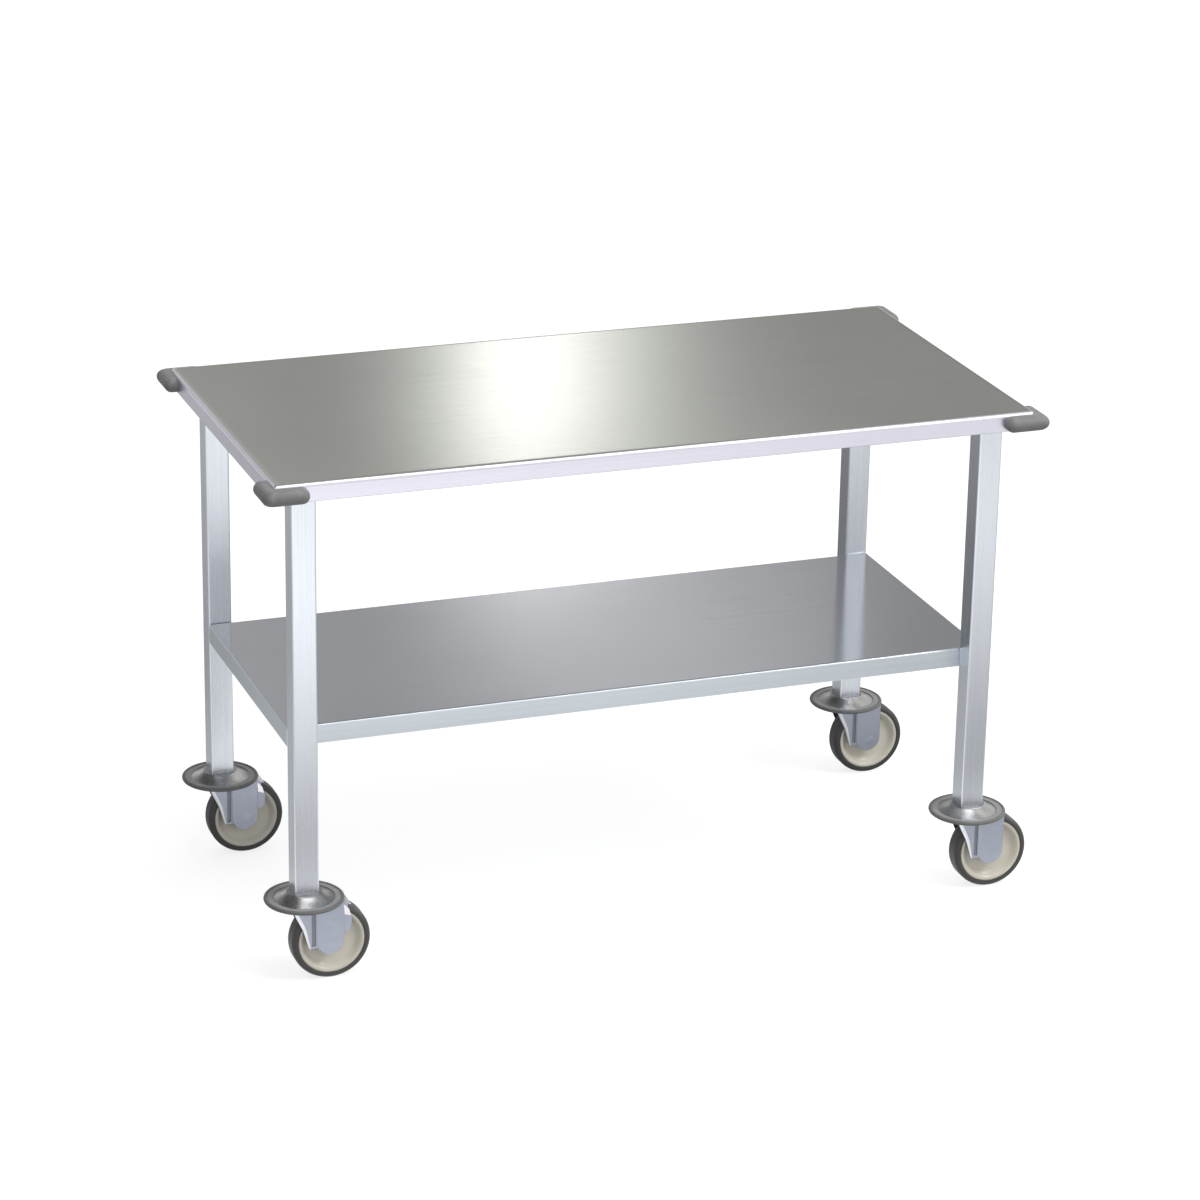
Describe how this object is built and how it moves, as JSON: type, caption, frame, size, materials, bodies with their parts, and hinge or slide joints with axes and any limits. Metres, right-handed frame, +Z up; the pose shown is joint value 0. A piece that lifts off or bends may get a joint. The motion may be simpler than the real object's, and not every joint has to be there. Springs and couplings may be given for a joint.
{
  "type": "wheeled hospital table with a lower shelf",
  "caption": "Wheeled stainless steel hospital table with a flat top, a lower shelf, square legs, corner bumpers and swivel casters with disc bumpers and foot brakes.",
  "frame": {"origin": "on the floor under the middle of the whole outline, trailing wheels included", "axes": "+X along the table towards the end its wheels trail to, +Y towards the far long side, +Z up"},
  "size_m": [1.2864, 0.65, 0.82],
  "materials": {
    "top_steel": "brushed along the table",
    "shelf_steel": "brushed along the table",
    "leg_steel": "brushed along the leg",
    "frame_steel": "mill",
    "dish_steel": "polished",
    "fork_zinc": "satin zinc",
    "pedal_steel": "bright",
    "zinc": "zinc plated",
    "bearing_steel": "ground",
    "bumper_rubber": "matt",
    "tyre_rubber": "matt",
    "hub_plastic": "moulded"
  },
  "bodies": {
    "table": {"top_sheet": "top_steel", "top_rail_front": "frame_steel", "top_rail_back": "frame_steel", "top_cross_left": "frame_steel", "top_cross_mid": "frame_steel", "top_cross_right": "frame_steel", "leg_plates": "frame_steel", "plate_screws": "zinc", "shelf_sheet": "shelf_steel", "shelf_stiffener": "frame_steel", "shelf_bolts": "zinc", "shelf_nuts": "zinc", "bumper_screws": "zinc", "leg_plugs": "zinc", "swivel_balls": "bearing_steel", "leg_fl": "leg_steel", "leg_fr": "leg_steel", "leg_bl": "leg_steel", "leg_br": "leg_steel", "corner_bumper_fl": "bumper_rubber", "corner_bumper_fr": "bumper_rubber", "corner_bumper_bl": "bumper_rubber", "corner_bumper_br": "bumper_rubber", "disc_dish_fl": "dish_steel", "disc_dish_fr": "dish_steel", "disc_dish_bl": "dish_steel", "disc_dish_br": "dish_steel", "disc_ring_fl": "bumper_rubber", "disc_ring_fr": "bumper_rubber", "disc_ring_bl": "bumper_rubber", "disc_ring_br": "bumper_rubber", "caster_stem_fl": "zinc", "caster_stem_fr": "zinc", "caster_stem_bl": "zinc", "caster_stem_br": "zinc"},
    "caster_fl": {"fork_fl": "fork_zinc", "axle_fl": "zinc", "wheel_bush_fl": "bearing_steel", "brake_pin_fl": "zinc"},
    "wheel_fl": {"wheel_hub_fl": "hub_plastic", "tyre_fl": "tyre_rubber"},
    "pedal_fl": {"brake_pedal_fl": "pedal_steel"},
    "caster_fr": {"fork_fr": "fork_zinc", "axle_fr": "zinc", "wheel_bush_fr": "bearing_steel"},
    "wheel_fr": {"wheel_hub_fr": "hub_plastic", "tyre_fr": "tyre_rubber"},
    "caster_bl": {"fork_bl": "fork_zinc", "axle_bl": "zinc", "wheel_bush_bl": "bearing_steel", "brake_pin_bl": "zinc"},
    "wheel_bl": {"wheel_hub_bl": "hub_plastic", "tyre_bl": "tyre_rubber"},
    "pedal_bl": {"brake_pedal_bl": "pedal_steel"},
    "caster_br": {"fork_br": "fork_zinc", "axle_br": "zinc", "wheel_bush_br": "bearing_steel"},
    "wheel_br": {"wheel_hub_br": "hub_plastic", "tyre_br": "tyre_rubber"}
  },
  "joints": [
    {"name": "swivel_fl", "type": "hinge", "parent": "table", "child": "caster_fl", "pos_m": [-0.56825, -0.249, 0.1385], "axis": [0, 0, 1], "continuous": true},
    {"name": "roll_fl", "type": "hinge", "parent": "caster_fl", "child": "wheel_fl", "pos_m": [-0.52925, -0.249, 0.0625], "axis": [0, 1, 0], "continuous": true},
    {"name": "brake_fl", "type": "hinge", "parent": "caster_fl", "child": "pedal_fl", "pos_m": [-0.52425, -0.249, 0.1], "axis": [0, 1, 0], "range_deg": [0, 7]},
    {"name": "swivel_fr", "type": "hinge", "parent": "table", "child": "caster_fr", "pos_m": [0.54175, -0.249, 0.1385], "axis": [0, 0, 1], "continuous": true},
    {"name": "roll_fr", "type": "hinge", "parent": "caster_fr", "child": "wheel_fr", "pos_m": [0.58075, -0.249, 0.0625], "axis": [0, 1, 0], "continuous": true},
    {"name": "swivel_bl", "type": "hinge", "parent": "table", "child": "caster_bl", "pos_m": [-0.56825, 0.249, 0.1385], "axis": [0, 0, 1], "continuous": true},
    {"name": "roll_bl", "type": "hinge", "parent": "caster_bl", "child": "wheel_bl", "pos_m": [-0.52925, 0.249, 0.0625], "axis": [0, 1, 0], "continuous": true},
    {"name": "brake_bl", "type": "hinge", "parent": "caster_bl", "child": "pedal_bl", "pos_m": [-0.52425, 0.249, 0.1], "axis": [0, 1, 0], "range_deg": [0, 7]},
    {"name": "swivel_br", "type": "hinge", "parent": "table", "child": "caster_br", "pos_m": [0.54175, 0.249, 0.1385], "axis": [0, 0, 1], "continuous": true},
    {"name": "roll_br", "type": "hinge", "parent": "caster_br", "child": "wheel_br", "pos_m": [0.58075, 0.249, 0.0625], "axis": [0, 1, 0], "continuous": true}
  ]
}
